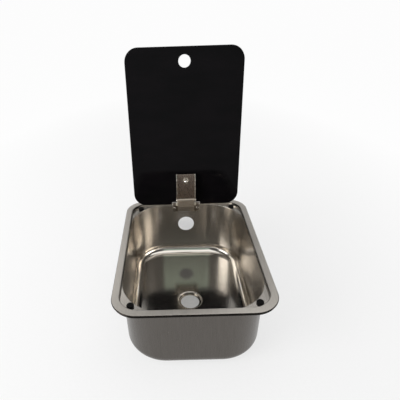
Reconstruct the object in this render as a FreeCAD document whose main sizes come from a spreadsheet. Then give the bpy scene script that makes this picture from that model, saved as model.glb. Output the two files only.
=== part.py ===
import FreeCAD, Part
import math
import os
import re

import Sketcher

# Inset sink with a hinged glass lid, in millimetres, +Z up, the lid standing open.
# The origin is the middle of the worktop cut-out, on the worktop's surface: X runs to the
# right, Y to the back, and the drain hole points down.
# The pieces of the lid are drawn lying shut, with the hinge pin's axis as their origin, and
# their Placement swings them open by a right angle and the lean.

DRIVING = {
    # rim and recess
    "rim_length": 380.0,
    "rim_width": 280.0,
    "rim_corner": 45.0,
    "rim_band": 13.6,
    "rim_rise": 6.0,
    "lip_depth": 2.0,
    "sheet": 1.0,
    "rim_outer_round": 1.6,
    "rim_inner_round": 1.5,
    "recess_depth": 6.0,
    "recess_corner": 36.0,
    # bowl
    "mouth_ledge": 1.0,
    "mouth_round": 0.5,
    "bowl_corner": 76.0,
    "bowl_depth": 133.0,
    "wall_draft": 0.75,
    "floor_round": 19.0,
    # drain and the hole in the back wall
    "drain_recess_diameter": 50.0,
    "drain_recess_depth": 5.0,
    "drain_recess_round": 2.0,
    "drain_diameter": 40.0,
    "drain_forward": 10.0,
    "wall_hole_diameter": 39.0,
    "wall_hole_drop": 52.0,
    # worktop gasket
    "gasket_gap": 0.2,
    "gasket_band": 9.5,
    # rubber bumpers
    "bumper_diameter": 12.5,
    "bumper_height": 3.8,
    "bumper_round": 1.2,
    "bumper_side_inset": 19.6,
    "bumper_end_inset": 15.0,
    "bumper_stem_diameter": 5.0,
    "bumper_bulb_diameter": 6.8,
    "bumper_bulb_length": 3.0,
    # fits
    "pin_clearance": 0.05,
    "side_play": 0.1,
    "lid_rest_gap": 0.2,
    # hinge leaf on the back wall, and its pin
    "hinge_pin_diameter": 5.0,
    "pin_head_diameter": 7.0,
    "pin_head_length": 1.6,
    "leaf_sheet": 1.5,
    "leaf_wall_gap": 0.25,
    "leaf_drop": 21.0,
    "leaf_bar_height": 16.0,
    "leaf_corner": 4.0,
    "knuckle_length": 7.5,
    "washer_diameter": 8.4,
    "washer_thickness": 1.3,
    "rivet_diameter": 4.0,
    "rivet_head_diameter": 6.6,
    "rivet_head_height": 1.6,
    "rivet_tail_diameter": 5.0,
    "rivet_tail_height": 0.8,
    "rivet_drop": 12.5,
    # glass
    "lid_lean": 5.4,
    "lid_side_gap": 4.4,
    "lid_front_gap": 4.4,
    "glass_thickness": 4.0,
    "glass_corner": 28.0,
    "glass_arris": 0.5,
    "notch_depth": 6.0,
    "notch_gap": 1.0,
    "notch_corner": 2.5,
    "finger_hole_diameter": 25.0,
    "finger_hole_inset": 27.6,
    # bracket on the glass
    "bracket_width": 44.0,
    "bracket_sheet": 1.5,
    "bracket_reach": 77.0,
    "bracket_web_start": 8.0,
    "bracket_lip": 5.5,
    "bracket_lip_run": 11.0,
    "bracket_flange": 11.0,
    "flange_corner": 6.0,
    "bracket_pad_thickness": 1.0,
    "bracket_pad_margin": 2.0,
    "bend_round": 2.0,
    "fold_trim": 0.3,
    "ear_radius": 4.0,
    "ear_trim": 0.4,
    "stop_overlap": 0.8,
    "stop_gap": 0.1,
    "stop_thickness": 3.4,
    "stop_round": 0.5,
    "stop_heel": 1.0,
    # cover over the knuckles, and its pin
    "cover_sheet": 1.2,
    "cover_tail": 2.0,
    "cover_pin_diameter": 4.0,
    "cover_pin_rise": 14.0,
    "cover_pin_depth": 8.5,
    "cover_pin_head_diameter": 6.4,
    "spacer_length": 1.3,
    # clamp through the glass
    "clamp_inset": 16.0,
    "clamp_thread": 6.0,
    "clamp_head_diameter": 18.0,
    "clamp_head_height": 2.6,
    "clamp_pad_diameter": 20.0,
    "clamp_pad_thickness": 1.0,
    "bush_wall": 1.6,
    "bush_gap": 0.2,
    "nut_washer_diameter": 16.0,
    "nut_washer_thickness": 1.0,
    "nut_across_flats": 10.0,
    "nut_height": 6.0,
    "nut_dome_diameter": 9.4,
    "nut_thread_depth": 8.5,
}

DERIVED = {
    "recess_length": "rim_length - 2 * rim_band",
    "recess_width": "rim_width - 2 * rim_band",
    "mouth_length": "recess_length - 2 * mouth_ledge",
    "mouth_width": "recess_width - 2 * mouth_ledge",
    "ledge_level": "rim_rise - recess_depth",
    "floor_level": "ledge_level - bowl_depth",
    "wall_lean": "bowl_depth * tan(wall_draft * 1 deg)",
    "bumper_right": "recess_width / 2 - bumper_side_inset",
    "bumper_back": "recess_length / 2 - bumper_end_inset",
    "knuckle_radius": "hinge_pin_diameter / 2 + pin_clearance + leaf_sheet",
    "leaf_back": "mouth_length / 2 - leaf_wall_gap",
    "hinge_back": "leaf_back - knuckle_radius",
    "hinge_level": "ledge_level + bumper_height + lid_rest_gap + glass_thickness / 2",
    "clamp_rise": "bracket_reach - clamp_inset",
    "ear_back": "ear_radius - ear_trim",
    "knuckle_start": "bracket_width / 2 + washer_thickness + 2 * side_play",
    "knuckle_end": "knuckle_start + knuckle_length",
    "rivet_right": "(knuckle_start + knuckle_end) / 2",
    "pin_bore_radius": "hinge_pin_diameter / 2 + pin_clearance",
    "cover_bore_radius": "cover_pin_diameter / 2 + pin_clearance",
    "glass_width": "recess_width - 2 * lid_side_gap",
    "glass_length": "recess_length / 2 + hinge_back - lid_front_gap",
    "glass_top": "glass_thickness / 2",
    "notch_right": "knuckle_end + pin_head_length + notch_gap",
    "web_top": "glass_top + bracket_pad_thickness",
    "web_bottom": "web_top + bracket_sheet",
    "flange_bottom": "web_top + bracket_flange",
    "stop_reach": "recess_length / 2 + rim_inner_round + stop_overlap - hinge_back",
    "cover_half": "bracket_width / 2 - bracket_sheet - spacer_length - 2 * side_play",
    "cover_front": "cover_pin_depth + cover_bore_radius + cover_sheet",
    "cover_roll": "cover_front - cover_pin_depth",
    "screw_bore_radius": "clamp_thread / 2 + pin_clearance",
    "bush_radius": "screw_bore_radius + bush_wall",
}

# places and bores that several pieces share
RIVET_BORE = "rivet_diameter / 2 + pin_clearance"
CLAMP = [("0", "-clamp_rise")]
COVER_PIN = [("-cover_pin_rise", "-cover_pin_depth")]
# how much of a rounded head's height its rounding takes
CROWN = "0.8"

doc = FreeCAD.newDocument("rv_sink")
sizes = doc.addObject("Spreadsheet::Sheet", "Sizes")


def prefixed(formula):
    """The formula with each size's alias written as the sheet's own cell."""
    def cell(word):
        return f"Sizes.{word[0]}" if word[0] in DRIVING or word[0] in DERIVED else word[0]

    return re.sub(r"[a-z_]+", cell, formula)


def fill_sheet():
    """Driving sizes as plain numbers, and below them the sizes that follow from them."""
    row = 1
    for alias, number in DRIVING.items():
        sizes.set(f"A{row}", alias)
        sizes.set(f"B{row}", str(number))
        sizes.setAlias(f"B{row}", alias)
        row += 1
    for alias, formula in DERIVED.items():
        sizes.set(f"A{row}", alias)
        sizes.set(f"B{row}", "=" + formula)
        sizes.setAlias(f"B{row}", alias)
        row += 1
    doc.recompute()


fill_sheet()


def size(formula):
    """The number that a formula over the sheet's sizes gives."""
    value = sizes.evalExpression(prefixed(formula))
    return float(getattr(value, "Value", value))


def bind(thing, property_name, formula):
    thing.setExpression(property_name, prefixed(formula))


# ---------------------------------------------------------------- bodies and sketches

subparts = []


def new_body(label, x="0", y="0", z="0", swing="0"):
    """An empty body, placed by formulas: swing is its turn about X in degrees."""
    body = doc.addObject("PartDesign::Body", label)
    body.Label = label
    base = f"vector(({x}) * 1 mm; ({y}) * 1 mm; ({z}) * 1 mm)"
    turn = f"rotation(vector(1; 0; 0); ({swing}) * 1 deg)"
    bind(body, "Placement", f"placement({base}; {turn})")
    subparts.append(body)
    return body


def hinge_body(label):
    """A body of the fixed half of the hinge, drawn about the pin's axis."""
    return new_body(label, "0", "hinge_back", "hinge_level")


def lid_body(label):
    """A body of the lid, drawn shut about the pin's axis and swung open."""
    return new_body(label, "0", "hinge_back", "hinge_level", "-90 - lid_lean")


def new_sketch(body, name, plane, offset="0", shift="0"):
    """An empty sketch on the body's own plane, moved along its normal and its own Y."""
    sketch = body.newObject("Sketcher::SketchObject", f"{body.Name}_{name}")
    role = [f for f in body.Origin.OriginFeatures if f.Role == plane][0]
    sketch.AttachmentSupport = (role, "")
    sketch.MapMode = "FlatFace"
    bind(sketch, "AttachmentOffset.Base.z", f"({offset}) * 1 mm")
    bind(sketch, "AttachmentOffset.Base.y", f"({shift}) * 1 mm")
    return sketch


def fix_point(sketch, geometry, which, x, y):
    """Holds a sketch point at the formulas x and y from the sketch's origin."""
    for kind, formula in (("DistanceX", x), ("DistanceY", y)):
        number = size(formula)
        index = sketch.addConstraint(
            Sketcher.Constraint(kind, -1, 1, geometry, which, number)
        )
        name = f"{kind[-1].lower()}{index}"
        sketch.renameConstraint(index, name)
        bind(sketch, f"Constraints.{name}", f"({formula}) * 1 mm")


def add_outline(sketch, corners):
    """A closed line through corners (x, y, radius); a corner with a radius is an arc."""
    count = len(corners)
    points = [FreeCAD.Vector(size(x), size(y), 0) for x, y, _ in corners]
    radii = [size(radius) if radius else 0.0 for _, _, radius in corners]
    starts, ends = [], []
    for i, point in enumerate(points):
        before = (points[i - 1] - point).normalize()
        after = (points[(i + 1) % count] - point).normalize()
        half = before.getAngle(after) / 2
        reach = radii[i] / math.tan(half)
        ends.append(point + before * reach)
        starts.append(point + after * reach)
    lines = [
        sketch.addGeometry(Part.LineSegment(starts[i], ends[(i + 1) % count]))
        for i in range(count)
    ]
    for i, (x, y, radius) in enumerate(corners):
        line_in, line_out = lines[i - 1], lines[i]
        if not radius:
            sketch.addConstraint(Sketcher.Constraint("Coincident", line_in, 2, line_out, 1))
            fix_point(sketch, line_out, 1, x, y)
            continue
        before = (ends[i] - points[i]).normalize()
        after = (starts[i] - points[i]).normalize()
        half = before.getAngle(after) / 2
        centre = points[i] + (before + after).normalize() * (radii[i] / math.sin(half))
        middle = centre + (points[i] - centre).normalize() * radii[i]
        arc = sketch.addGeometry(Part.Arc(ends[i], middle, starts[i]))
        turns_left = before.cross(after).z < 0
        first, last = (1, 2) if turns_left else (2, 1)
        corner = sketch.addGeometry(Part.Point(points[i]), True)
        sketch.addConstraint(Sketcher.Constraint("Tangent", line_in, 2, arc, first))
        sketch.addConstraint(Sketcher.Constraint("Tangent", arc, last, line_out, 1))
        sketch.addConstraint(Sketcher.Constraint("PointOnObject", corner, 1, line_in))
        sketch.addConstraint(Sketcher.Constraint("PointOnObject", corner, 1, line_out))
        fix_point(sketch, corner, 1, x, y)
        index = sketch.addConstraint(Sketcher.Constraint("Radius", arc, radii[i]))
        sketch.renameConstraint(index, f"round{index}")
        bind(sketch, f"Constraints.round{index}", f"({radius}) * 1 mm")


def add_circle(sketch, x, y, radius):
    """A circle of a formula radius about the point x, y."""
    middle = FreeCAD.Vector(size(x), size(y), 0)
    circle = sketch.addGeometry(Part.Circle(middle, FreeCAD.Vector(0, 0, 1), size(radius)))
    fix_point(sketch, circle, 3, x, y)
    index = sketch.addConstraint(Sketcher.Constraint("Radius", circle, size(radius)))
    sketch.renameConstraint(index, f"round{index}")
    bind(sketch, f"Constraints.round{index}", f"({radius}) * 1 mm")


def outline(body, name, plane, corners, offset="0", shift="0"):
    sketch = new_sketch(body, name, plane, offset, shift)
    add_outline(sketch, corners)
    return sketch


def rounded_rectangle(body, name, width, length, radius, level):
    """A rectangle about the body's Z axis, on a level of its own, with round corners."""
    right, back = f"({width}) / 2", f"({length}) / 2"
    left, front = f"-({width}) / 2", f"-({length}) / 2"
    corners = [(left, front, radius), (right, front, radius)]
    corners += [(right, back, radius), (left, back, radius)]
    return outline(body, name, "XY_Plane", corners, level)


def circles(body, name, plane, places, radius, offset="0"):
    sketch = new_sketch(body, name, plane, offset)
    for x, y in places:
        add_circle(sketch, x, y, radius)
    return sketch


# ---------------------------------------------------------------- features


def extrude(body, kind, sketch, length, flip=False, both=False):
    feature = body.newObject(f"PartDesign::{kind}", f"{sketch.Name}_{kind.lower()}")
    feature.Profile = sketch
    bind(feature, "Length", f"({length}) * 1 mm")
    feature.Reversed = flip
    feature.SideType = "Symmetric" if both else "One side"
    sketch.Visibility = False
    doc.recompute()
    return feature


def pad(body, sketch, length, flip=False, both=False):
    """Adds the sketch's area along its normal; flip adds it the other way."""
    return extrude(body, "Pad", sketch, length, flip, both)


def pocket(body, sketch, length, flip=False, both=False):
    """Cuts against the sketch's normal; flip cuts along it. A cut that misses is an error."""
    before = body.Tip.Shape.Volume
    feature = extrude(body, "Pocket", sketch, length, flip, both)
    if feature.Shape.Volume > before - 1e-6:
        raise RuntimeError(f"{feature.Name} cuts nothing")
    return feature


def loft(body, sections):
    feature = body.newObject("PartDesign::AdditiveLoft", f"{sections[0].Name}_loft")
    feature.Profile = sections[0]
    feature.Sections = sections[1:]
    doc.recompute()
    return feature


def combine(body, kind, tool):
    """Fuses a solid form to the body, or cuts it from the body."""
    feature = body.newObject("PartDesign::Boolean", f"{body.Name}_{tool.Name}")
    feature.setObjects([tool])
    feature.Type = kind
    doc.recompute()
    return feature


def revolve(body, sketch, axis):
    """Turns the sketch's area about its own H_Axis or V_Axis."""
    feature = body.newObject("PartDesign::Revolution", f"{sketch.Name}_turned")
    feature.Profile = sketch
    feature.ReferenceAxis = (sketch, [axis])
    feature.Angle = 360.0
    doc.recompute()
    return feature


def dress(body, kind, name, edges, formula):
    """A Fillet or Chamfer of a formula size on edges of the body's tip."""
    base = body.Tip
    if not edges:
        raise RuntimeError(f"{body.Label} has no edges for {name}")
    feature = body.newObject(f"PartDesign::{kind}", f"{body.Name}_{name}")
    feature.Base = (base, edges)
    bind(feature, "Radius" if kind == "Fillet" else "Size", f"({formula}) * 1 mm")
    doc.recompute()
    if "Invalid" in feature.State:
        raise RuntimeError(f"{feature.Name} can't be made")
    return feature


def loop_edges(body, level, outer):
    """Names of the edges round the widest flat face at a level: outside it or inside."""
    shape = body.Tip.Shape
    flat = [
        face
        for face in shape.Faces
        if face.BoundBox.ZLength < 1e-6 and abs(face.CenterOfMass.z - size(level)) < 1e-6
    ]
    face = max(flat, key=lambda f: f.BoundBox.DiagonalLength)
    rest = [w for w in face.Wires if not w.isSame(face.OuterWire)]
    wires = [face.OuterWire] if outer else rest
    wanted = [edge for wire in wires for edge in wire.Edges]
    return names_of(shape, lambda edge: any(edge.isSame(other) for other in wanted))


def names_of(shape, test):
    return [f"Edge{i + 1}" for i, edge in enumerate(shape.Edges) if test(edge)]


def edges_between(body, low, high):
    """Names of the edges that lie wholly in a box of formulas, in the body's own frame."""
    near = 1e-4
    bottom = [size(value) - near for value in low]
    top = [size(value) + near for value in high]

    def inside(edge):
        box = edge.BoundBox
        lows = (box.XMin, box.YMin, box.ZMin)
        highs = (box.XMax, box.YMax, box.ZMax)
        return all(a >= b for a, b in zip(lows, bottom)) and all(
            a <= b for a, b in zip(highs, top)
        )

    return names_of(body.Tip.Shape, inside)


# ---------------------------------------------------------------- the pressed bowl


def make_sink_bowl():
    """One pressed sheet: turned-down rim, shallow recess for the lid, and the deep bowl."""
    body = new_body("sink_bowl")
    press_rim(body)
    press_bowl(body)
    cut_drain(body)
    cut_holes(body)
    round_rim(body)


def press_rim(body):
    """The flat rim with its turned-down lip, and the block that the recess is cut from."""
    rim = rounded_rectangle(body, "rim", "rim_width", "rim_length", "rim_corner", "rim_rise")
    pad(body, rim, "lip_depth", flip=True)
    hollow = rounded_rectangle(
        body,
        "hollow",
        "rim_width - 2 * sheet",
        "rim_length - 2 * sheet",
        "rim_corner - sheet",
        "rim_rise - lip_depth",
    )
    pocket(body, hollow, "lip_depth - sheet", flip=True)
    block = rounded_rectangle(
        body,
        "recess_block",
        "recess_width + 2 * sheet",
        "recess_length + 2 * sheet",
        "recess_corner + sheet",
        "rim_rise",
    )
    pad(body, block, "recess_depth + sheet", flip=True)


def bowl_section(body, name, grow, shrink, level):
    """A level outline of the bowl: grow is added on every side, and shrink taken off."""
    change = f"({grow}) - ({shrink})"
    return rounded_rectangle(
        body,
        name,
        f"mouth_width + 2 * ({change})",
        f"mouth_length + 2 * ({change})",
        f"bowl_corner + {change}",
        level,
    )


def bowl_form(name, grow):
    """A solid of the bowl's form, drafted and round at the floor, larger by grow."""
    form = doc.addObject("PartDesign::Body", name)
    floor = f"floor_level - {grow}"
    mouth = bowl_section(form, "mouth", grow, "0", "ledge_level")
    bottom = bowl_section(form, "bottom", grow, "wall_lean", floor)
    loft(form, [mouth, bottom])
    dress(form, "Fillet", "floor_round", loop_edges(form, floor, True), f"floor_round + {grow}")
    return form


def press_bowl(body):
    """The bowl: its outer form and the drain's cup are added, then the inner form is cut."""
    combine(body, "Fuse", bowl_form("bowl_outside", "sheet"))
    drain = circles(
        body,
        "drain_cup",
        "XY_Plane",
        [("0", "-drain_forward")],
        "drain_recess_diameter / 2 + sheet",
        "floor_level - sheet - drain_recess_depth",
    )
    pad(body, drain, "drain_recess_depth + sheet / 2")
    recess = rounded_rectangle(
        body, "recess", "recess_width", "recess_length", "recess_corner", "rim_rise"
    )
    pocket(body, recess, "recess_depth")
    combine(body, "Cut", bowl_form("bowl_inside", "0"))


def cut_drain(body):
    """The drain's sunk seat, with a rounded edge, and the waste hole through it."""
    place = [("0", "-drain_forward")]
    seat_radius = "drain_recess_diameter / 2"
    seat = circles(body, "drain_seat", "XY_Plane", place, seat_radius, "floor_level")
    pocket(body, seat, "drain_recess_depth")
    seat_level = "floor_level - drain_recess_depth"
    hole = circles(body, "drain_hole", "XY_Plane", place, "drain_diameter / 2", seat_level)
    pocket(body, hole, "2 * sheet")
    edges = loop_edges(body, "floor_level", False)
    dress(body, "Fillet", "drain_edge", edges, "drain_recess_round")


def cut_holes(body):
    """The big hole and two rivet holes in the back wall, and the bumpers' stem holes."""
    inside = "-(mouth_length / 2 - leaf_wall_gap - 4 * sheet)"
    through = "6 * sheet + leaf_wall_gap"
    place = [("0", "ledge_level - wall_hole_drop")]
    hole = circles(body, "wall_hole", "XZ_Plane", place, "wall_hole_diameter / 2", inside)
    pocket(body, hole, through)
    places = [(f"{side} * rivet_right", "hinge_level - rivet_drop") for side in (-1, 1)]
    rivets = circles(body, "rivet_holes", "XZ_Plane", places, RIVET_BORE, inside)
    pocket(body, rivets, through)
    places = [(f"{i} * bumper_right", f"{j} * bumper_back") for i in (-1, 1) for j in (-1, 1)]
    stems = circles(
        body,
        "stem_holes",
        "XY_Plane",
        places,
        "bumper_stem_diameter / 2 + pin_clearance",
        "ledge_level",
    )
    pocket(body, stems, "2 * sheet")


def round_rim(body):
    """The rolled edges of the rim, inside and out, and the eased mouth of the bowl."""
    under = "rim_rise - sheet"
    dress(body, "Fillet", "mouth_ease", loop_edges(body, "ledge_level", False), "mouth_round")
    dress(body, "Fillet", "lip_inside", loop_edges(body, under, True), "rim_outer_round - sheet")
    dress(body, "Fillet", "lip_outside", loop_edges(body, "rim_rise", True), "rim_outer_round")
    dress(body, "Fillet", "neck_outside", loop_edges(body, under, False), "rim_inner_round - sheet")
    dress(body, "Fillet", "neck_inside", loop_edges(body, "rim_rise", False), "rim_inner_round")


def make_rim_gasket():
    """A foam ring between the rim and the worktop, just inside the turned-down lip."""
    body = new_body("rim_gasket")
    inset = "2 * (rim_outer_round + gasket_gap)"
    outer = rounded_rectangle(
        body,
        "outer",
        f"rim_width - {inset}",
        f"rim_length - {inset}",
        "rim_corner - rim_outer_round - gasket_gap",
        "0",
    )
    pad(body, outer, "rim_rise - sheet")
    inner = rounded_rectangle(
        body,
        "inner",
        f"rim_width - {inset} - 2 * gasket_band",
        f"rim_length - {inset} - 2 * gasket_band",
        "rim_corner - rim_outer_round - gasket_gap - gasket_band",
        "0",
    )
    pocket(body, inner, "rim_rise - sheet", flip=True)


def make_bumper(label, side, end):
    """A rubber button with a domed head, a neck in its hole and a bulb under the sheet."""
    body = new_body(label, f"{side} * bumper_right", f"{end} * bumper_back", "ledge_level")
    head, neck = "bumper_diameter / 2", "bumper_stem_diameter / 2"
    bulb, tail = "bumper_bulb_diameter / 2", "-(sheet + side_play + bumper_bulb_length)"
    corners = [
        ("0", tail, None),
        (neck, tail, None),
        (bulb, "-sheet - side_play", None),
        (neck, "-sheet - side_play", None),
        (neck, "0", None),
        (head, "0", None),
        (head, "bumper_height", "bumper_round"),
        ("0", "bumper_height", None),
    ]
    revolve(body, outline(body, "section", "XZ_Plane", corners), "V_Axis")


# ---------------------------------------------------------------- fixed half of the hinge


def make_hinge_base():
    """A leaf on the back wall with a knuckle rolled at the top of each of its two arms."""
    body = hinge_body("hinge_base")
    inner, outer = "knuckle_start", "knuckle_end"
    bar_top = "-leaf_drop + leaf_bar_height"
    corners = [
        (f"-{outer}", "-leaf_drop", "leaf_corner"),
        (outer, "-leaf_drop", "leaf_corner"),
        (outer, "0", None),
        (inner, "0", None),
        (inner, bar_top, "leaf_sheet"),
        (f"-{inner}", bar_top, "leaf_sheet"),
        (f"-{inner}", "0", None),
        (f"-{outer}", "0", None),
    ]
    leaf = outline(body, "leaf", "XZ_Plane", corners, "-knuckle_radius")
    pad(body, leaf, "leaf_sheet")
    for side, flip in ((1, False), (-1, True)):
        name = "knuckle_right" if side > 0 else "knuckle_left"
        place = [("0", "0")]
        start = f"{side} * knuckle_start"
        roll = circles(body, name, "YZ_Plane", place, "knuckle_radius", start)
        pad(body, roll, "knuckle_length", flip=flip)
    bore = circles(body, "bore", "YZ_Plane", [("0", "0")], "pin_bore_radius")
    pocket(body, bore, "2 * knuckle_end + 2 * leaf_sheet", both=True)
    places = [(f"{side} * rivet_right", "-rivet_drop") for side in (-1, 1)]
    rivets = circles(body, "rivet_holes", "XZ_Plane", places, RIVET_BORE, "0")
    pocket(body, rivets, "2 * knuckle_radius")


def make_base_rivet(label, side):
    """A dome-headed rivet through the leaf and the back wall, upset behind the wall."""
    body = new_body(
        label,
        f"{side} * rivet_right",
        "leaf_back - leaf_sheet",
        "hinge_level - rivet_drop",
    )
    shank, head = "rivet_diameter / 2", "rivet_head_diameter / 2"
    grip = "leaf_sheet + leaf_wall_gap + sheet"
    corners = [
        ("0", "-rivet_head_height", None),
        (head, "-rivet_head_height", f"{CROWN} * rivet_head_height"),
        (head, "0", None),
        (shank, "0", None),
        (shank, grip, None),
        ("rivet_tail_diameter / 2", grip, None),
        ("rivet_tail_diameter / 2", f"{grip} + rivet_tail_height", None),
        ("0", f"{grip} + rivet_tail_height", None),
    ]
    revolve(body, outline(body, "section", "XY_Plane", corners), "V_Axis")


def ring(body, start, end, inner, outer):
    """A ring about the X axis, from start to end along it."""
    corners = [(start, inner, None), (end, inner, None), (end, outer, None), (start, outer, None)]
    revolve(body, outline(body, "section", "XY_Plane", corners), "H_Axis")


def make_pin_washer(label, side):
    """A nylon washer between a fixed knuckle and the bracket's ear."""
    near = f"{side} * (bracket_width / 2 + side_play)"
    far = f"{side} * (bracket_width / 2 + side_play + washer_thickness)"
    first, last = (near, far) if side > 0 else (far, near)
    ring(hinge_body(label), first, last, "pin_bore_radius", "washer_diameter / 2")


# ---------------------------------------------------------------- glass and its bracket


def make_glass_lid():
    """Toughened glass with a finger hole, a clamp hole and a notch for the knuckles."""
    body = lid_body("glass_lid")
    right, front = "glass_width / 2", "-glass_length"
    corners = [
        (f"-{right}", front, "glass_corner"),
        (right, front, "glass_corner"),
        (right, "0", "glass_corner"),
        ("notch_right", "0", "notch_corner / 2"),
        ("notch_right", "-notch_depth", "notch_corner"),
        ("-notch_right", "-notch_depth", "notch_corner"),
        ("-notch_right", "0", "notch_corner / 2"),
        (f"-{right}", "0", "glass_corner"),
    ]
    pad(body, outline(body, "plate", "XY_Plane", corners), "glass_thickness", both=True)
    finger = [("0", "-(glass_length - finger_hole_inset)")]
    hole = circles(body, "finger_hole", "XY_Plane", finger, "finger_hole_diameter / 2")
    pocket(body, hole, "2 * glass_thickness", both=True)
    clamp = circles(body, "clamp_hole", "XY_Plane", CLAMP, "bush_radius + bush_gap")
    pocket(body, clamp, "2 * glass_thickness", both=True)
    for name, level in (("top_arris", "glass_top"), ("bottom_arris", "-glass_top")):
        dress(body, "Chamfer", name, loop_edges(body, level, True), "glass_arris")
        dress(body, "Chamfer", f"{name}_holes", loop_edges(body, level, False), "glass_arris")


def make_lid_bracket():
    """A folded channel on the glass: its two ears turn on the pin and stop on the rim."""
    body = lid_body("lid_bracket")
    reach, ear_top = "-bracket_reach", "-cover_pin_rise - ear_radius"
    lean = "tan(lid_lean * 1 deg)"
    corners = [
        (reach, "-web_top", None),
        (reach, "-web_top - bracket_lip", "bend_round"),
        (f"{reach} + bracket_lip_run", "-flange_bottom", "flange_corner"),
        (ear_top, "-flange_bottom", "flange_corner"),
        ("ear_radius", "-ear_radius", "ear_back"),
        ("ear_radius", "ear_back", "ear_back - ear_trim"),
        (f"-stop_gap - ear_back * {lean}", "ear_back", None),
        (f"-stop_gap - stop_reach * {lean}", "stop_reach", "stop_round"),
        ("-stop_gap - stop_thickness", "stop_reach", "stop_heel"),
        ("-stop_gap - stop_thickness", "-stop_heel", "stop_heel"),
        ("-notch_depth - stop_gap", "-web_top", None),
    ]
    side = outline(body, "side", "YZ_Plane", corners)
    pad(body, side, "bracket_width", both=True)
    inside = "bracket_width - 2 * bracket_sheet"
    far = "2 * flange_bottom"
    hollow = [
        (f"{reach} + bracket_sheet", "-web_bottom", None),
        ("-bracket_web_start", "-web_bottom", None),
        ("-bracket_web_start", far, None),
        (far, far, None),
        (far, f"-{far}", None),
        (f"{reach} + bracket_sheet", f"-{far}", None),
    ]
    pocket(body, outline(body, "channel", "YZ_Plane", hollow), inside, both=True)
    hole = circles(body, "clamp_hole", "XY_Plane", CLAMP, "screw_bore_radius")
    pocket(body, hole, "2 * web_bottom", both=True)
    bore = circles(body, "pin_bore", "YZ_Plane", [("0", "0")], "pin_bore_radius")
    pocket(body, bore, "2 * bracket_width", both=True)
    bore = circles(body, "cover_bore", "YZ_Plane", COVER_PIN, "cover_bore_radius")
    pocket(body, bore, "2 * bracket_width", both=True)
    bend_bracket(body)


def bend_bracket(body):
    """The folds along the channel's two sides: round outside and tight inside."""
    for side in (-1, 1):
        face = f"{side} * bracket_width / 2"
        first = (face, "-bracket_reach", "-web_top")
        last = (face, "-notch_depth", "-web_top")
        fold = edges_between(body, first, last)
        name = "fold_right" if side > 0 else "fold_left"
        dress(body, "Fillet", name, fold, "bracket_sheet - fold_trim")


def make_bracket_pad():
    """A rubber sheet between the glass and the bracket's web, holed for the bush."""
    body = lid_body("bracket_pad")
    right = "bracket_width / 2 - bracket_pad_margin"
    far = "-bracket_reach + bracket_pad_margin"
    corners = [
        (f"-({right})", far, "bracket_pad_margin"),
        (right, far, "bracket_pad_margin"),
        (right, "-bracket_web_start", None),
        (f"-({right})", "-bracket_web_start", None),
    ]
    plate = outline(body, "plate", "XY_Plane", corners, "-web_top")
    pad(body, plate, "bracket_pad_thickness")
    hole = circles(body, "hole", "XY_Plane", CLAMP, "bush_radius + bush_gap", "-web_top")
    pocket(body, hole, "bracket_pad_thickness", flip=True)


def make_hinge_cover():
    """A folded plate in front of the knuckles, rolled round its pin, with two cheeks."""
    body = lid_body("hinge_cover")
    width, roll_top = "2 * cover_half", "-cover_pin_rise - cover_roll"
    cheek_round = "ear_back - ear_trim"
    cheek = [
        ("cover_tail", "-cover_front", "cover_sheet"),
        ("cover_tail", "-ear_radius", "ear_trim"),
        ("ear_back", "-cover_tail", "ear_trim"),
        ("ear_back", "ear_back", cheek_round),
        ("-ear_back", "ear_back", cheek_round),
        ("-ear_back", "-web_bottom - side_play", None),
        ("-cover_pin_rise", "-web_bottom - side_play", None),
        (roll_top, "-web_bottom - side_play", "cover_sheet"),
        (roll_top, "-cover_front", "cover_roll - side_play"),
    ]
    pad(body, outline(body, "cheeks", "YZ_Plane", cheek), width, both=True)
    hollow_cover(body)
    bore = circles(body, "pin_bore", "YZ_Plane", [("0", "0")], "pin_bore_radius")
    pocket(body, bore, width, both=True)
    bore = circles(body, "cover_bore", "YZ_Plane", COVER_PIN, "cover_bore_radius")
    pocket(body, bore, width, both=True)


def hollow_cover(body):
    """Cuts out all between the cheeks but the front plate and its roll round the pin."""
    far = "2 * ear_radius"
    back = "-(cover_front - cover_sheet)"
    inside_roll, above = "-cover_pin_depth + cover_roll", "-cover_pin_rise - 2 * cover_roll"
    edge = "-cover_pin_rise + cover_roll"
    corners = [
        (edge, back, None),
        (far, back, None),
        (far, far, None),
        (above, far, None),
        (above, inside_roll, None),
        (edge, inside_roll, None),
    ]
    inside = "2 * (cover_half - cover_sheet)"
    pocket(body, outline(body, "inside", "YZ_Plane", corners), inside, both=True)


def headed_pin(body, shank, head, face, offset="0", shift="0"):
    """A pin along X with a rounded head outside each face that it holds together."""
    tip = f"{face} + pin_head_length"
    crown = f"{CROWN} * pin_head_length"
    corners = [
        (f"-({tip})", "0", None),
        (f"-({tip})", head, crown),
        (f"-({face})", head, None),
        (f"-({face})", shank, None),
        (face, shank, None),
        (face, head, None),
        (tip, head, crown),
        (tip, "0", None),
    ]
    section = outline(body, "section", "XY_Plane", corners, offset, shift)
    revolve(body, section, "H_Axis")


def make_hinge_pin():
    """The hinge pin, headed outside the knuckles."""
    shank, head = "hinge_pin_diameter / 2", "pin_head_diameter / 2"
    headed_pin(hinge_body("hinge_pin"), shank, head, "knuckle_end")


def make_cover_pin():
    """The pin that holds the cover between the bracket's sides."""
    shank, head = "cover_pin_diameter / 2", "cover_pin_head_diameter / 2"
    place = ("-cover_pin_depth", "-cover_pin_rise")
    headed_pin(lid_body("cover_pin"), shank, head, "bracket_width / 2", *place)


def make_pin_spacer(label, side):
    """A nylon spacer on the hinge pin between the bracket's ear and the cover's cheek."""
    near = f"{side} * (cover_half + side_play)"
    far = f"{side} * (cover_half + side_play + spacer_length)"
    first, last = (near, far) if side > 0 else (far, near)
    ring(lid_body(label), first, last, "pin_bore_radius", "ear_radius")


# ---------------------------------------------------------------- clamp through the glass


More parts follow.
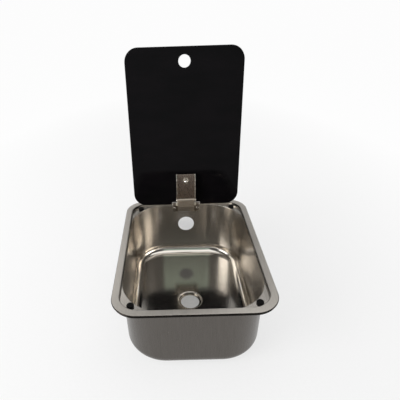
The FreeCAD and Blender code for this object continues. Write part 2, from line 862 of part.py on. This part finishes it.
def turned(label, corners):
    """A piece of the clamp, turned about the clamp's axis, which stands on the lid."""
    body = lid_body(label)
    section = outline(body, "section", "XZ_Plane", corners, "clamp_rise")
    revolve(body, section, "V_Axis")
    return body


def make_clamp():
    """Screw, outer pad, bush, washer and domed nut that clamp the bracket to the glass."""
    bore, thread = "screw_bore_radius", "clamp_thread / 2"
    pad_top = "glass_top + clamp_pad_thickness"
    head = "clamp_head_diameter / 2"
    washer_bottom = "-web_bottom - nut_washer_thickness"
    tip = f"{washer_bottom} - nut_thread_depth + side_play"
    turned("clamp_screw", [
        ("0", tip, None),
        (thread, tip, None),
        (thread, pad_top, None),
        (head, pad_top, None),
        (head, f"{pad_top} + clamp_head_height", f"{CROWN} * clamp_head_height"),
        ("0", f"{pad_top} + clamp_head_height", None),
    ])
    turned("screw_pad", [
        (bore, "glass_top", None),
        ("clamp_pad_diameter / 2", "glass_top", None),
        ("clamp_pad_diameter / 2", pad_top, None),
        (bore, pad_top, None),
    ])
    turned("clamp_bush", [
        (bore, "-web_top", None),
        ("bush_radius", "-web_top", None),
        ("bush_radius", "glass_top", None),
        (bore, "glass_top", None),
    ])
    turned("nut_washer", [
        (bore, washer_bottom, None),
        ("nut_washer_diameter / 2", washer_bottom, None),
        ("nut_washer_diameter / 2", "-web_bottom", None),
        (bore, "-web_bottom", None),
    ])
    make_cap_nut(washer_bottom, bore)


def make_cap_nut(seat, bore):
    """A hexagon nut closed by a dome, tapped as a blind hole from its seat."""
    body = lid_body("cap_nut")
    corner = "nut_across_flats / 2 / cos(30 deg)"
    places = []
    for turn in range(0, 360, 60):
        across, up = f"{corner} * cos({turn} deg)", f"{corner} * sin({turn} deg)"
        places.append((across, f"-clamp_rise + {up}", None))
    hexagon = outline(body, "hexagon", "XY_Plane", places, seat)
    pad(body, hexagon, "nut_height", flip=True)
    dome, top = "nut_dome_diameter / 2", f"{seat} - nut_height"
    corners = [
        ("0", seat, None),
        (dome, seat, None),
        (dome, f"{top} - nut_dome_diameter / 2", f"{dome} - side_play"),
        ("0", f"{top} - nut_dome_diameter / 2", None),
    ]
    revolve(body, outline(body, "dome", "XZ_Plane", corners, "clamp_rise"), "V_Axis")
    hole = circles(body, "thread", "XY_Plane", CLAMP, bore, seat)
    pocket(body, hole, "nut_thread_depth")


# ---------------------------------------------------------------- all pieces

make_sink_bowl()
make_rim_gasket()
for end_name, end in (("front", -1), ("back", 1)):
    for side_name, side in (("left", -1), ("right", 1)):
        make_bumper(f"bumper_{end_name}_{side_name}", side, end)
make_hinge_base()
make_hinge_pin()
make_glass_lid()
make_lid_bracket()
make_bracket_pad()
make_hinge_cover()
make_cover_pin()
for side_name, side in (("left", -1), ("right", 1)):
    make_base_rivet(f"base_rivet_{side_name}", side)
    make_pin_washer(f"pin_washer_{side_name}", side)
    make_pin_spacer(f"pin_spacer_{side_name}", side)
make_clamp()

doc.recompute()
for thing in doc.Objects:
    if "Invalid" in thing.State or "Error" in thing.State:
        raise RuntimeError(f"{thing.Label} failed: {thing.State}")
for body in subparts:
    if body.Shape.isNull() or not body.Shape.isValid():
        raise RuntimeError(f"{body.Label} has no valid shape")

os.makedirs("parts", exist_ok=True)
for body in subparts:
    body.Shape.exportStep(f"parts/{body.Label}.step")
    print(body.Label, round(body.Shape.Volume, 1), len(body.Shape.Solids))
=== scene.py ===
"""Looks of an inset RV sink with a glass lid: its finishes, the floor, the light and the camera.

Everything is in metres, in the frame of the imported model: +X right, +Y back, +Z up, with the origin on the
worktop in the middle of the cut-out. Patterns and surface depths are given in millimetres.
"""
import math
import bmesh
import bpy
from mathutils import Matrix, Vector


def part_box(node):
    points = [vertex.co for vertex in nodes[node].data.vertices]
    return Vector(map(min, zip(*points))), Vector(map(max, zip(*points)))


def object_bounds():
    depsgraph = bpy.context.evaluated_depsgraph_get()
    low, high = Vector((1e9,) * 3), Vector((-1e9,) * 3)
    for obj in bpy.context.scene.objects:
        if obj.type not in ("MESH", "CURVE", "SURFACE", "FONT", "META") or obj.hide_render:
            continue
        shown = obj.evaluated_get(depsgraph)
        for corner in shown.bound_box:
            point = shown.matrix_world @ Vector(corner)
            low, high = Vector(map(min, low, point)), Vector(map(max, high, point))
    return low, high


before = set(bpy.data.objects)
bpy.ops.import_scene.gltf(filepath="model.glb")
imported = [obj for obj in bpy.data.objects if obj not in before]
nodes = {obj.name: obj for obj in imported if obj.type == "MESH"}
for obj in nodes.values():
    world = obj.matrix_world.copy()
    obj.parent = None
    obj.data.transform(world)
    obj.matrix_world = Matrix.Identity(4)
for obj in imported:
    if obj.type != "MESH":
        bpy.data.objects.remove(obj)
cad_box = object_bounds()
MM = 0.001
RIM_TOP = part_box("sink_bowl")[1].z
LID_LEAN = math.radians(5.4)  # past upright, as the lid stands open

# The sockets of a Mix node share their names, so they are picked by number.
SHARE, FIRST_NUMBER, SECOND_NUMBER, FIRST_COLOUR, SECOND_COLOUR = 0, 2, 3, 6, 7
MIXED_NUMBER, MIXED_COLOUR = 0, 2

# A noise keeps mostly between these, so tone and polish run over this span.
NOISE_LOW, NOISE_HIGH = 0.3, 0.7


# ---------------------------------------------------------------- colour and nodes

def linear(hex_colour):
    """An sRGB hex colour as the linear red, green, blue and alpha that the shaders take."""
    channels = [int(hex_colour[place:place + 2], 16) / 255 for place in (1, 3, 5)]
    return [c / 12.92 if c <= 0.04045 else ((c + 0.055) / 1.055) ** 2.4 for c in channels] + [1.0]


def per(millimetres):
    """The scale at which a pattern in metres repeats once in so many millimetres."""
    return 1 / (millimetres * MM)


def add(tree, kind, settings=None, links=None):
    """Adds a node to a tree.

    A setting is an attribute's or a socket's value, or a colour ramp's stops as (place, hex colour).
    A link is an output to plug in.
    """
    made = tree.nodes.new(kind)
    for name, value in (settings or {}).items():
        if name == "stops":
            for place, hex_colour in value[2:]:
                made.color_ramp.elements.new(place)
            for stop, (place, hex_colour) in zip(made.color_ramp.elements, value):
                stop.position = place
                stop.color = linear(hex_colour)
        elif isinstance(name, str) and hasattr(made, name):
            setattr(made, name, value)
        else:
            made.inputs[name].default_value = value
    for name, output in (links or {}).items():
        tree.links.new(output, made.inputs[name])
    return made


def opened(material):
    """A finish's tree, shader and place node, for a finish that builds on it."""
    tree = material.node_tree
    held = {node.bl_idname: node for node in tree.nodes}
    return tree, held["ShaderNodeBsdfPrincipled"], held["ShaderNodeTexCoord"]


def fed(shader, socket):
    """The output that feeds one of a shader's sockets."""
    return shader.inputs[socket].links[0].from_socket


def finish(name, body, lump, drawn_out, colours, roughness, depth):
    """A material whose colour, roughness and relief all follow one fine pattern.

    Body is the shader's own settings. The pattern's lumps are so many millimetres across and deep, and drawn
    out so many times along X, Y and Z.
    """
    material = bpy.data.materials.new(name)
    material.use_nodes = True
    tree = material.node_tree
    tree.nodes.clear()
    where = add(tree, "ShaderNodeTexCoord").outputs["Object"]
    squeezed = add(
        tree, "ShaderNodeMapping", {"Scale": [1 / times for times in drawn_out]}, {"Vector": where},
    )
    pattern = add(
        tree, "ShaderNodeTexNoise", {"Scale": per(lump), "Detail": 3, "Roughness": 0.55},
        {"Vector": squeezed.outputs["Vector"]},
    )
    tone = add(
        tree, "ShaderNodeValToRGB", {"stops": [(NOISE_LOW, colours[0]), (NOISE_HIGH, colours[1])]},
        {"Fac": pattern.outputs["Fac"]},
    )
    polish = add(
        tree, "ShaderNodeMapRange",
        {"From Min": NOISE_LOW, "From Max": NOISE_HIGH, "To Min": roughness[0], "To Max": roughness[1]},
        {"Value": pattern.outputs["Fac"]},
    )
    relief = add(
        tree, "ShaderNodeBump", {"Strength": 1.0, "Distance": depth * MM}, {"Height": pattern.outputs["Fac"]},
    )
    shader = add(
        tree, "ShaderNodeBsdfPrincipled", body,
        {
            "Base Color": tone.outputs["Color"],
            "Roughness": polish.outputs["Result"],
            "Normal": relief.outputs["Normal"],
        },
    )
    add(tree, "ShaderNodeOutputMaterial", links={"Surface": shader.outputs["BSDF"]})
    return material


# ---------------------------------------------------------------- the pressed bowl

POLISH_GRAIN = 0.9                    # mm between polishing lines; real ones, 0.1 mm apart, wouldn't show
POLISH_GRAIN_DEPTH = 0.002
POLISH_ALONG = (1, 30, 1)             # the bowl is polished from front to back
WAVE_WIDTH, WAVE_DEPTH = 55, 0.12     # mm, of the broad waves that a press leaves
PEEL_WIDTH, PEEL_DEPTH = 7, 0.012     # mm, of the faint peel on them
DRAW_MARK = 1.5                       # mm between draw marks; real ones, 0.3 mm apart, wouldn't show
DRAW_MARK_LENGTH = 25                 # times their spacing
OUTSIDE_REACH = 50 * MM               # an outside face's plane is further than this from the rim's middle
FLOOR_POLISH, WALL_POLISH, RIM_BRUSHING = 0.56, 1.0, 1.45       # times the roughness
FLOOR_ENDS, WALL_STARTS = -128 * MM, -105 * MM
WALL_ENDS, RIM_STARTS = 4.5 * MM, 5.5 * MM
STEP_MIDDLE, STEP_HALF = 5.1 * MM, 0.85 * MM                    # the height of the recess's step
STEEP = 0.8                           # a face whose normal stands up less than this is a step, not a flat


def pressed_stainless():
    """Stainless sheet, deep drawn, then polished bright inside and left dull from the press outside.

    Broad waves and a faint peel from the press bend what it mirrors, and fine polishing grain along the bowl
    softens it. The dull side has the upright marks of the draw and a darker tone, which is painted shade; the
    recess's step and the rim's turned edge are painted darker still as shade.
    """
    material = finish(
        "pressed_stainless", {"Metallic": 1.0}, lump=POLISH_GRAIN, drawn_out=POLISH_ALONG,
        colours=("#c6c0b8", "#cfcac2"), roughness=(0.2, 0.27), depth=POLISH_GRAIN_DEPTH,
    )
    tree, shader, places = opened(material)
    where = places.outputs["Object"]
    fine_relief = fed(shader, "Normal").node

    waves = add(
        tree, "ShaderNodeTexNoise", {"Scale": per(WAVE_WIDTH), "Detail": 1, "Roughness": 0.5},
        {"Vector": where},
    )
    wavy = add(
        tree, "ShaderNodeBump", {"Strength": 1.0, "Distance": WAVE_DEPTH * MM},
        {"Height": waves.outputs["Fac"]},
    )
    peel = add(
        tree, "ShaderNodeTexNoise", {"Scale": per(PEEL_WIDTH), "Detail": 2, "Roughness": 0.5},
        {"Vector": where},
    )
    peeled = add(
        tree, "ShaderNodeBump", {"Strength": 1.0, "Distance": PEEL_DEPTH * MM},
        {"Height": peel.outputs["Fac"], "Normal": wavy.outputs["Normal"]},
    )
    tree.links.new(peeled.outputs["Normal"], fine_relief.inputs["Normal"])

    # the outside is every face that looks away from the middle of the rim's top
    facing = add(tree, "ShaderNodeNewGeometry")
    from_middle = add(
        tree, "ShaderNodeVectorMath", {"operation": "SUBTRACT", 1: (0, 0, RIM_TOP)}, {0: where},
    )
    outward = add(
        tree, "ShaderNodeVectorMath", {"operation": "DOT_PRODUCT"},
        {0: from_middle.outputs["Vector"], 1: facing.outputs["True Normal"]},
    )
    outside = add(
        tree, "ShaderNodeMath", {"operation": "GREATER_THAN", 1: OUTSIDE_REACH},
        {0: outward.outputs["Value"]},
    )

    # the bowl's floor is the brightest, and the rim's flat top is brushed
    level = add(tree, "ShaderNodeSeparateXYZ", links={"Vector": where})
    to_floor = add(
        tree, "ShaderNodeMapRange",
        {"From Min": FLOOR_ENDS, "From Max": WALL_STARTS, "To Min": FLOOR_POLISH, "To Max": WALL_POLISH},
        {"Value": level.outputs["Z"]},
    )
    to_rim = add(
        tree, "ShaderNodeMapRange",
        {"From Min": WALL_ENDS, "From Max": RIM_STARTS, "To Min": WALL_POLISH, "To Max": RIM_BRUSHING},
        {"Value": level.outputs["Z"]},
    )
    both = add(
        tree, "ShaderNodeMath", {"operation": "MULTIPLY"},
        {0: to_floor.outputs["Result"], 1: to_rim.outputs["Result"]},
    )
    inside_polish = add(
        tree, "ShaderNodeMath", {"operation": "MULTIPLY"},
        {0: fed(shader, "Roughness"), 1: both.outputs["Value"]},
    )
    drawn = add(tree, "ShaderNodeMapping", {"Scale": (1, 1, 1 / DRAW_MARK_LENGTH)}, {"Vector": where})
    draw_marks = add(
        tree, "ShaderNodeTexNoise", {"Scale": per(DRAW_MARK), "Detail": 3, "Roughness": 0.6},
        {"Vector": drawn.outputs["Vector"]},
    )
    # the outside's darker tone is painted shade; the draw marks in it are the sheet's own
    painted_shade_dull_tone = add(
        tree, "ShaderNodeValToRGB", {"stops": [(NOISE_LOW, "#605c58"), (NOISE_HIGH, "#66625e")]},
        {"Fac": draw_marks.outputs["Fac"]},
    )
    dull_polish = add(
        tree, "ShaderNodeMapRange",
        {"From Min": NOISE_LOW, "From Max": NOISE_HIGH, "To Min": 0.26, "To Max": 0.3},
        {"Value": draw_marks.outputs["Fac"]},
    )
    tone = add(
        tree, "ShaderNodeMix", {"data_type": "RGBA"},
        {
            SHARE: outside.outputs["Value"],
            FIRST_COLOUR: fed(shader, "Base Color"),
            SECOND_COLOUR: painted_shade_dull_tone.outputs["Color"],
        },
    )
    polish = add(
        tree, "ShaderNodeMix", {"data_type": "FLOAT"},
        {
            SHARE: outside.outputs["Value"],
            FIRST_NUMBER: inside_polish.outputs["Value"],
            SECOND_NUMBER: dull_polish.outputs["Result"],
        },
    )

    # the recess's step and the rim's turned edge get a dark tone that is painted shade, and the dull
    # roughness
    upright = add(tree, "ShaderNodeSeparateXYZ", links={"Vector": facing.outputs["True Normal"]})
    slope = add(tree, "ShaderNodeMath", {"operation": "ABSOLUTE"}, {0: upright.outputs["Z"]})
    steep = add(
        tree, "ShaderNodeMath", {"operation": "LESS_THAN", 1: STEEP}, {0: slope.outputs["Value"]},
    )
    at_step = add(
        tree, "ShaderNodeMath", {"operation": "COMPARE", 1: STEP_MIDDLE, 2: STEP_HALF},
        {0: level.outputs["Z"]},
    )
    step = add(
        tree, "ShaderNodeMath", {"operation": "MULTIPLY"},
        {0: steep.outputs["Value"], 1: at_step.outputs["Value"]},
    )
    on_rim = add(tree, "ShaderNodeMath", {"operation": "GREATER_THAN", 1: 0.0}, {0: level.outputs["Z"]})
    edge = add(
        tree, "ShaderNodeMath", {"operation": "MULTIPLY"},
        {0: on_rim.outputs["Value"], 1: outside.outputs["Value"]},
    )
    painted_shade_step_and_edge = add(
        tree, "ShaderNodeMath", {"operation": "MAXIMUM"},
        {0: step.outputs["Value"], 1: edge.outputs["Value"]},
    )
    # painted shade on the step and the turned edge
    painted_shade_tone = add(
        tree, "ShaderNodeValToRGB", {"stops": [(0.35, "#211e1c"), (0.65, "#302c28")]},
        {"Fac": peel.outputs["Fac"]},
    )
    whole_tone = add(
        tree, "ShaderNodeMix", {"data_type": "RGBA"},
        {
            SHARE: painted_shade_step_and_edge.outputs["Value"],
            FIRST_COLOUR: tone.outputs[MIXED_COLOUR],
            SECOND_COLOUR: painted_shade_tone.outputs["Color"],
        },
    )
    tree.links.new(whole_tone.outputs[MIXED_COLOUR], shader.inputs["Base Color"])
    whole_polish = add(
        tree, "ShaderNodeMix", {"data_type": "FLOAT"},
        {
            SHARE: painted_shade_step_and_edge.outputs["Value"],
            FIRST_NUMBER: polish.outputs[MIXED_NUMBER],
            SECOND_NUMBER: dull_polish.outputs["Result"],
        },
    )
    tree.links.new(whole_polish.outputs[MIXED_NUMBER], shader.inputs["Roughness"])
    return material


# ---------------------------------------------------------------- strip, bar, glass, rubber and nylon

BRUSHING = 0.6                        # mm between brushing lines; real ones, 0.1 mm apart, wouldn't show
BRUSHING_DEPTH = 0.0015
ALONG_WIDTH, ALONG_HEIGHT = (60, 1, 1), (1, 1, 60)
EVEN = (1, 1, 1)
PAINTED_MOTTLE_SIZE = 5                             # mm across, of the mottle in the painted highlight and painted shade
FLANGE_SHEET = 1.6 * MM               # the bracket's sheet and a little more
PAST_COVER = 1 * MM
GLASS_GRIT = 0.8                      # mm across; real grit, near 0.1 mm, wouldn't show
FLAT_FACE = 0.9                       # a glass face turned further than this from the flat is a ground edge


def rolled_stainless(name, colours, roughness, drawn_out):
    """Cold-rolled stainless strip, brushed one way: fine lines along it and a long soft sheen across them."""
    return finish(
        name, {"Metallic": 1.0}, lump=BRUSHING, drawn_out=drawn_out, colours=colours, roughness=roughness,
        depth=BRUSHING_DEPTH,
    )


def paint_light_beyond(material, reach, colours):
    """Paints a mottled highlight or shade onto a material, beyond reach from the middle plane."""
    tree, shader, places = opened(material)
    where = places.outputs["Object"]
    place = add(tree, "ShaderNodeSeparateXYZ", links={"Vector": where})
    sideways = add(tree, "ShaderNodeMath", {"operation": "ABSOLUTE"}, {0: place.outputs["X"]})
    far = add(
        tree, "ShaderNodeMath", {"operation": "GREATER_THAN", 1: reach}, {0: sideways.outputs["Value"]},
    )
    painted_mottle = add(
        tree, "ShaderNodeTexNoise", {"Scale": per(PAINTED_MOTTLE_SIZE), "Detail": 3, "Roughness": 0.6}, {"Vector": where},
    )
    painted_light_tone = add(
        tree, "ShaderNodeValToRGB", {"stops": [(0.35, colours[0]), (0.6, colours[1])]},
        {"Fac": painted_mottle.outputs["Fac"]},
    )
    tone = add(
        tree, "ShaderNodeMix", {"data_type": "RGBA"},
        {
            SHARE: far.outputs["Value"],
            FIRST_COLOUR: fed(shader, "Base Color"),
            SECOND_COLOUR: painted_light_tone.outputs["Color"],
        },
    )
    tree.links.new(tone.outputs[MIXED_COLOUR], shader.inputs["Base Color"])
    return material


def folded_stainless():
    """Brushed strip folded into a channel, its two flanges painted lighter as a painted highlight."""
    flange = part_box("lid_bracket")[1].x - FLANGE_SHEET
    strip = rolled_stainless(
        "folded_stainless", ("#796d64", "#857970"), roughness=(0.24, 0.3), drawn_out=ALONG_HEIGHT,
    )
    # the flanges' lighter tone is a painted highlight
    return paint_light_beyond(strip, flange, ("#aaa198", "#dfd9d0"))


def leaf_stainless():
    """Brushed strip for the leaf on the wall: bright in the middle, with painted shade along its arms."""
    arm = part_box("hinge_cover")[1].x + PAST_COVER
    strip = rolled_stainless(
        "leaf_stainless", ("#a59b8e", "#b8aea2"), roughness=(0.26, 0.4), drawn_out=ALONG_WIDTH,
    )
    # the arms' darker tone is painted shade
    return paint_light_beyond(strip, arm, ("#5f564d", "#857b70"))


def cover_stainless():
    """Brushed strip for the cover over the knuckles: an even satin that catches one broad highlight."""
    return rolled_stainless(
        "brushed_cover_stainless", ("#a99f92", "#bcb2a6"), roughness=(0.24, 0.37), drawn_out=ALONG_WIDTH,
    )


def turned_stainless():
    """Bright turned stainless bar: nearly a mirror, with small scuffs that break up its highlights."""
    return finish(
        "turned_stainless", {"Metallic": 1.0}, lump=1.2, drawn_out=EVEN, colours=("#b9b2a8", "#cfc9c0"),
        roughness=(0.1, 0.2), depth=0.008,
    )


def black_glass():
    """Toughened float glass, black right through: deep, with a sharp reflection that a slow smear unsettles.

    Its edges, and the wall of its finger hole, are ground: grey satin with a fine grit of their own.
    """
    material = finish(
        "black_glass", {"IOR": 1.52, "Specular IOR Level": 0.05}, lump=30, drawn_out=(3, 1, 1),
        colours=("#070708", "#0d0b0d"), roughness=(0.03, 0.09), depth=0.02,
    )
    tree, shader, places = opened(material)
    out_of_face = (0, math.cos(LID_LEAN), -math.sin(LID_LEAN))
    across = add(
        tree, "ShaderNodeVectorMath", {"operation": "DOT_PRODUCT", 1: out_of_face},
        {0: places.outputs["Normal"]},
    )
    flatness = add(tree, "ShaderNodeMath", {"operation": "ABSOLUTE"}, {0: across.outputs["Value"]})
    edge = add(
        tree, "ShaderNodeMath", {"operation": "LESS_THAN", 1: FLAT_FACE}, {0: flatness.outputs["Value"]},
    )
    grit = add(
        tree, "ShaderNodeTexNoise", {"Scale": per(GLASS_GRIT), "Detail": 3, "Roughness": 0.6},
        {"Vector": places.outputs["Object"]},
    )
    ground_tone = add(
        tree, "ShaderNodeValToRGB", {"stops": [(0.35, "#2c2e2e"), (0.7, "#484b4a")]},
        {"Fac": grit.outputs["Fac"]},
    )
    ground_polish = add(
        tree, "ShaderNodeMapRange",
        {"From Min": NOISE_LOW, "From Max": NOISE_HIGH, "To Min": 0.4, "To Max": 0.6},
        {"Value": grit.outputs["Fac"]},
    )
    tone = add(
        tree, "ShaderNodeMix", {"data_type": "RGBA"},
        {
            SHARE: edge.outputs["Value"],
            FIRST_COLOUR: fed(shader, "Base Color"),
            SECOND_COLOUR: ground_tone.outputs["Color"],
        },
    )
    tree.links.new(tone.outputs[MIXED_COLOUR], shader.inputs["Base Color"])
    polish = add(
        tree, "ShaderNodeMix", {"data_type": "FLOAT"},
        {
            SHARE: edge.outputs["Value"],
            FIRST_NUMBER: fed(shader, "Roughness"),
            SECOND_NUMBER: ground_polish.outputs["Result"],
        },
    )
    tree.links.new(polish.outputs[MIXED_NUMBER], shader.inputs["Roughness"])
    return material


def black_rubber(name, colours, roughness, grain):
    """Black rubber: matt, with the fine grain of its mould, its cells or its cut, which catches a grey sheen.

    The grain is in millimetres. The real one is near 0.1 mm, and is drawn coarser to show.
    """
    return finish(
        name, {"IOR": 1.5, "Specular IOR Level": 0.06}, lump=grain, drawn_out=EVEN, colours=colours,
        roughness=roughness, depth=0.03,
    )


def natural_nylon():
    """Moulded natural nylon: milky, a little waxy, with a soft edge to its highlights."""
    body = {
        "IOR": 1.53,
        "Subsurface Weight": 0.15,
        "Subsurface Radius": (2 * MM, 1.5 * MM, 1 * MM),
        "Subsurface Scale": 1.0,
    }
    return finish(
        "natural_nylon", body, lump=3, drawn_out=EVEN, colours=("#cfc9b9", "#dbd6c8"), roughness=(0.35, 0.5),
        depth=0.01,
    )


def dress(names, material):
    """Gives CAD nodes a finish in place of their plain slot."""
    for name in names:
        for held in nodes[name].material_slots:
            held.material = material


dress(["sink_bowl"], pressed_stainless())
dress(["hinge_base"], leaf_stainless())
dress(["hinge_cover"], cover_stainless())
dress(["lid_bracket"], folded_stainless())
dress(
    ["base_rivet_left", "base_rivet_right", "hinge_pin", "cover_pin", "clamp_screw", "nut_washer", "cap_nut"],
    turned_stainless(),
)
dress(["glass_lid"], black_glass())
dress(
    ["rim_gasket"],
    black_rubber("foam_rubber", ("#0b0a0a", "#141313"), roughness=(0.75, 0.95), grain=0.8),
)
dress(
    ["bumper_front_left", "bumper_front_right", "bumper_back_left", "bumper_back_right"],
    black_rubber("moulded_bumper_rubber", ("#090808", "#121111"), roughness=(0.42, 0.58), grain=0.7),
)
dress(
    ["bracket_pad", "screw_pad"],
    black_rubber("cut_rubber_sheet", ("#161515", "#222120"), roughness=(0.6, 0.8), grain=0.9),
)
dress(
    ["pin_washer_left", "pin_washer_right", "pin_spacer_left", "pin_spacer_right", "clamp_bush"],
    natural_nylon(),
)


# ---------------------------------------------------------------- floor and backdrop

WHITE = "#ffffff"
WHITE_STRENGTH = 1.0                  # at which white light shows as white
FLOOR = cad_box[0].z
FLOOR_REACH = 8.0
WALL_HEIGHT = 4.0
COVE_RADIUS = 1.5
COVE_STEPS = 12
ROUND_STEPS = 96
PAPER_FIBRE = 4                       # mm; real fibres are too fine to show
PLAIN_PATCH_AT = (0.0, 0.14, FLOOR)
PLAIN_PATCH_REACH = (0.12, 0.24, 1.0)
RAMP_REACHES = 10                     # how many times the plain patch's reach the ramp of whiteness covers
WHITENESS = [
    (0.75 / RAMP_REACHES, "#000000"),
    (1.25 / RAMP_REACHES, "#dedede"),
    (8.0 / RAMP_REACHES, "#fcfcfc"),
]


def white_backdrop():
    """White paper that covers the floor and curves up all round.

    The eye and gloss see it close to white, and the object's shadow stays on it. Under the sink and just
    behind it, the paper is plain.
    """
    material = bpy.data.materials.new("white_paper")
    material.use_nodes = True
    tree = material.node_tree
    tree.nodes.clear()
    where = add(tree, "ShaderNodeTexCoord").outputs["Object"]
    fibre = add(
        tree, "ShaderNodeTexNoise", {"Scale": per(PAPER_FIBRE), "Detail": 2, "Roughness": 0.5},
        {"Vector": where},
    )
    tone = add(
        tree, "ShaderNodeValToRGB", {"stops": [(NOISE_LOW, "#dedede"), (NOISE_HIGH, "#e4e4e4")]},
        {"Fac": fibre.outputs["Fac"]},
    )
    paper = add(tree, "ShaderNodeBsdfDiffuse", {"Roughness": 0.5}, {"Color": tone.outputs["Color"]})
    glow = add(tree, "ShaderNodeEmission", {"Color": linear(WHITE), "Strength": WHITE_STRENGTH})
    ray = add(tree, "ShaderNodeLightPath")
    direct = add(
        tree, "ShaderNodeMath", {"operation": "MAXIMUM"},
        {0: ray.outputs["Is Camera Ray"], 1: ray.outputs["Is Transmission Ray"]},
    )
    seen = add(
        tree, "ShaderNodeMath", {"operation": "MAXIMUM"},
        {0: direct.outputs["Value"], 1: ray.outputs["Is Glossy Ray"]},
    )
    from_patch = add(
        tree, "ShaderNodeMapping",
        {"vector_type": "TEXTURE", "Location": PLAIN_PATCH_AT, "Scale": PLAIN_PATCH_REACH}, {"Vector": where},
    )
    reaches = add(
        tree, "ShaderNodeVectorMath", {"operation": "LENGTH"}, {0: from_patch.outputs["Vector"]},
    )
    along_ramp = add(
        tree, "ShaderNodeMath", {"operation": "MULTIPLY", 1: 1 / RAMP_REACHES}, {0: reaches.outputs["Value"]},
    )
    open_floor = add(
        tree, "ShaderNodeValToRGB", {"stops": WHITENESS}, {"Fac": along_ramp.outputs["Value"]},
    )
    share = add(
        tree, "ShaderNodeMath", {"operation": "MULTIPLY"},
        {0: seen.outputs["Value"], 1: open_floor.outputs["Color"]},
    )
    mix = add(
        tree, "ShaderNodeMixShader",
        links={0: share.outputs["Value"], 1: paper.outputs["BSDF"], 2: glow.outputs["Emission"]},
    )
    add(tree, "ShaderNodeOutputMaterial", links={"Surface": mix.outputs["Shader"]})
    return material


def add_backdrop():
    """Lays out the paper: a round floor whose rim curves up into a low wall on every side."""
    profile = [(0.0, FLOOR), (FLOOR_REACH - COVE_RADIUS, FLOOR)]
    for step in range(1, COVE_STEPS + 1):
        turn = math.radians(90 * step / COVE_STEPS)
        profile.append((
            FLOOR_REACH - COVE_RADIUS + COVE_RADIUS * math.sin(turn),
            FLOOR + COVE_RADIUS * (1 - math.cos(turn)),
        ))
    profile.append((FLOOR_REACH, FLOOR + WALL_HEIGHT))
    shape = bmesh.new()
    line = [shape.verts.new((0, radius, height)) for radius, height in profile]
    edges = [shape.edges.new(pair) for pair in zip(line, line[1:])]
    bmesh.ops.spin(
        shape, geom=line + edges, axis=(0, 0, 1), cent=(0, 0, 0), angle=math.tau, steps=ROUND_STEPS,
    )
    bmesh.ops.remove_doubles(shape, verts=shape.verts, dist=0.1 * MM)
    for face in shape.faces:
        face.smooth = True
    mesh = bpy.data.meshes.new("backdrop")
    shape.to_mesh(mesh)
    shape.free()
    mesh.materials.append(white_backdrop())
    backdrop = bpy.data.objects.new("backdrop", mesh)
    bpy.context.scene.collection.objects.link(backdrop)


# ---------------------------------------------------------------- light

SOFT_LIGHT = 0.12                     # of the studio itself, from every side

# The low and left ones shade the bowl's walls and corners, and the broad one above draws the line along its
# back fillet. The two behind brighten the rim, and the bowl's floor mirrors the faintly cool one in front.
SOFTBOXES = [
    # name, place, width, height, brightness of its face where 1 is white, and colour
    ("softbox_low_left", (-1.36, -0.79, 0.28), 1.0, 0.7, 13.0, WHITE),
    ("softbox_low_right", (1.58, 0.0, 0.28), 1.1, 0.8, 2.7, WHITE),
    ("softbox_left", (-1.30, -0.38, 0.85), 1.0, 0.7, 3.2, WHITE),
    ("softbox_top", (0.2, 0.1, 1.6), 1.6, 1.6, 1.4, WHITE),
    ("softbox_back_left", (-0.72, 1.18, 1.05), 0.9, 0.7, 0.9, WHITE),
    ("softbox_back_right", (0.62, 1.1, 1.3), 0.8, 0.7, 0.25, WHITE),
    ("softbox_front", (0.04, -1.03, 1.23), 0.42, 0.5, 0.55, "#dffff2"),
]


def light_world():
    """The studio's own soft light, even from every side. The paper hides it from every level view."""
    world = bpy.data.worlds.new("studio")
    bpy.context.scene.world = world
    world.use_nodes = True
    tree = world.node_tree
    tree.nodes.clear()
    soft = add(tree, "ShaderNodeBackground", {"Color": linear(WHITE), "Strength": SOFT_LIGHT})
    add(tree, "ShaderNodeOutputWorld", links={"Surface": soft.outputs["Background"]})


def add_softbox(name, place, width, height, brightness, colour):
    """A soft rectangular lamp that faces the origin."""
    lamp = bpy.data.lights.new(name, "AREA")
    lamp.color = linear(colour)[:3]
    lamp.shape = "RECTANGLE"
    lamp.size = width
    lamp.size_y = height
    lamp.energy = brightness * math.pi * width * height
    holder = bpy.data.objects.new(name, lamp)
    bpy.context.scene.collection.objects.link(holder)
    facing = (-Vector(place)).to_track_quat("-Z", "Y")
    holder.matrix_world = Matrix.Translation(place) @ facing.to_matrix().to_4x4()


# ---------------------------------------------------------------- camera

LENS, SENSOR = 33.31, 36              # mm
EYE = (-0.03294, -0.60796, 0.43627)
YAW, PITCH, ROLL = (math.radians(angle) for angle in (-0.459, 31.451, -1.870))
SHIFT = (0.0745, 0.0518)              # of the frame's width, which the photograph's framing needs
NEAREST = 10 * MM


def add_camera():
    """The photograph's view: in front of the sink, a little to its left, looking down into it."""
    forward = Vector((math.sin(YAW) * math.cos(PITCH), math.cos(YAW) * math.cos(PITCH), -math.sin(PITCH)))
    level = Vector((math.cos(YAW), -math.sin(YAW), 0))
    above = level.cross(forward)
    right = level * math.cos(ROLL) + above * math.sin(ROLL)
    up = above * math.cos(ROLL) - level * math.sin(ROLL)
    data = bpy.data.cameras.new("camera")
    data.lens = LENS
    data.sensor_width = SENSOR
    data.shift_x, data.shift_y = SHIFT
    data.clip_start = NEAREST
    camera = bpy.data.objects.new("camera", data)
    bpy.context.scene.collection.objects.link(camera)
    axes = Matrix((right, up, -forward)).transposed().to_4x4()
    camera.matrix_world = Matrix.Translation(EYE) @ axes
    bpy.context.scene.camera = camera


add_backdrop()
light_world()
for softbox in SOFTBOXES:
    add_softbox(*softbox)
add_camera()
bpy.context.scene.view_settings.view_transform = "Standard"
